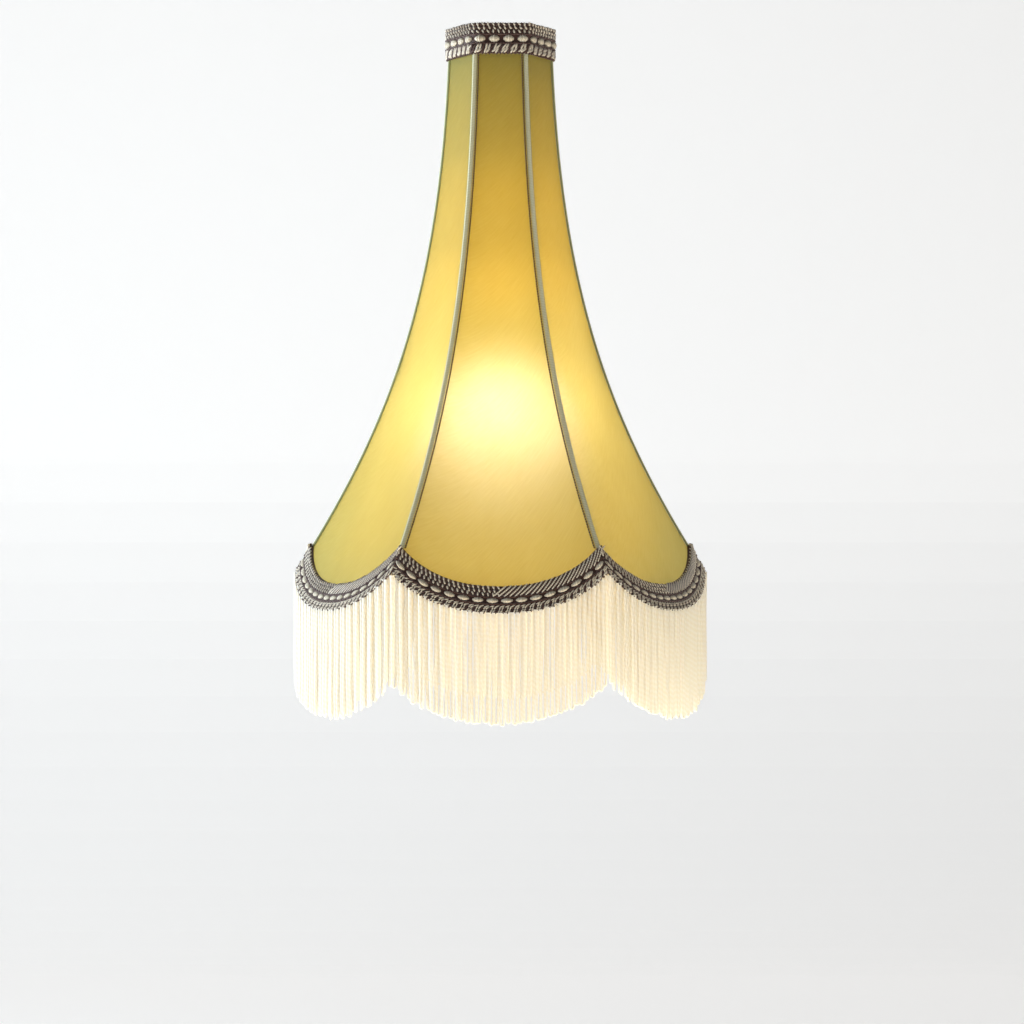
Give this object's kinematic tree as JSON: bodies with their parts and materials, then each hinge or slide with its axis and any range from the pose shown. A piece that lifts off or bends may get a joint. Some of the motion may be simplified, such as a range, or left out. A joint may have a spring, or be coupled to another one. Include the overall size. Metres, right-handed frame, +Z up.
{
  "type": "lamp shade",
  "caption": "Six-sided bell lamp shade of stretched cloth on a wire frame, with braid, piped seams and a deep loop fringe, tilting on a gimbal ring.",
  "frame": {"origin": "centre of the fitter ring's underside, where the lampholder holds it", "axes": "+Z up along the shade's axis, gore 1 faces -Y, and the tilt pivots lie along X"},
  "size_m": [0.3512, 0.3376, 0.5806],
  "materials": {
    "frame_wire": "satin ivory coating on drawn steel wire",
    "fitter_steel": "zinc plated strip",
    "cover_silk": "sage green silk, plain weave with a soft sheen",
    "lining": "ivory lining cloth, matt",
    "piping": "folded bias strip of the cover cloth",
    "edge_cord": "fine twisted brown cord",
    "braid": "woven gimp braid, dark brown with beige",
    "fringe": "ivory rayon loop fringe"
  },
  "bodies": {
    "fitter": {"fitter_ring": "fitter_steel", "stirrup_arm_right": "fitter_steel", "pivot_rivet_right": "fitter_steel", "pivot_washer_right": "fitter_steel", "stirrup_arm_left": "fitter_steel", "pivot_rivet_left": "fitter_steel", "pivot_washer_left": "fitter_steel"},
    "shade": {"top_ring_wire": "frame_wire", "top_braid": "braid", "rib_wire_1": "frame_wire", "scallop_wire_1": "frame_wire", "cover_gore_1": "cover_silk", "lining_gore_1": "lining", "seam_piping_1": "piping", "lower_braid_1": "braid", "fringe_1": "fringe", "edge_cord_1": "edge_cord", "rib_wire_2": "frame_wire", "scallop_wire_2": "frame_wire", "cover_gore_2": "cover_silk", "lining_gore_2": "lining", "seam_piping_2": "piping", "lower_braid_2": "braid", "fringe_2": "fringe", "edge_cord_2": "edge_cord", "rib_wire_3": "frame_wire", "scallop_wire_3": "frame_wire", "cover_gore_3": "cover_silk", "lining_gore_3": "lining", "seam_piping_3": "piping", "lower_braid_3": "braid", "fringe_3": "fringe", "edge_cord_3": "edge_cord", "rib_wire_4": "frame_wire", "scallop_wire_4": "frame_wire", "cover_gore_4": "cover_silk", "lining_gore_4": "lining", "seam_piping_4": "piping", "lower_braid_4": "braid", "fringe_4": "fringe", "edge_cord_4": "edge_cord", "rib_wire_5": "frame_wire", "scallop_wire_5": "frame_wire", "cover_gore_5": "cover_silk", "lining_gore_5": "lining", "seam_piping_5": "piping", "lower_braid_5": "braid", "fringe_5": "fringe", "edge_cord_5": "edge_cord", "rib_wire_6": "frame_wire", "scallop_wire_6": "frame_wire", "cover_gore_6": "cover_silk", "lining_gore_6": "lining", "seam_piping_6": "piping", "lower_braid_6": "braid", "fringe_6": "fringe", "edge_cord_6": "edge_cord", "gimbal_arm_right": "fitter_steel", "gimbal_arm_left": "fitter_steel"}
  },
  "joints": [
    {"name": "gimbal_tilt", "type": "hinge", "parent": "fitter", "child": "shade", "pos_m": [0, 0, 0.115], "axis": [1, 0, 0], "range_deg": [-25, 25]}
  ]
}
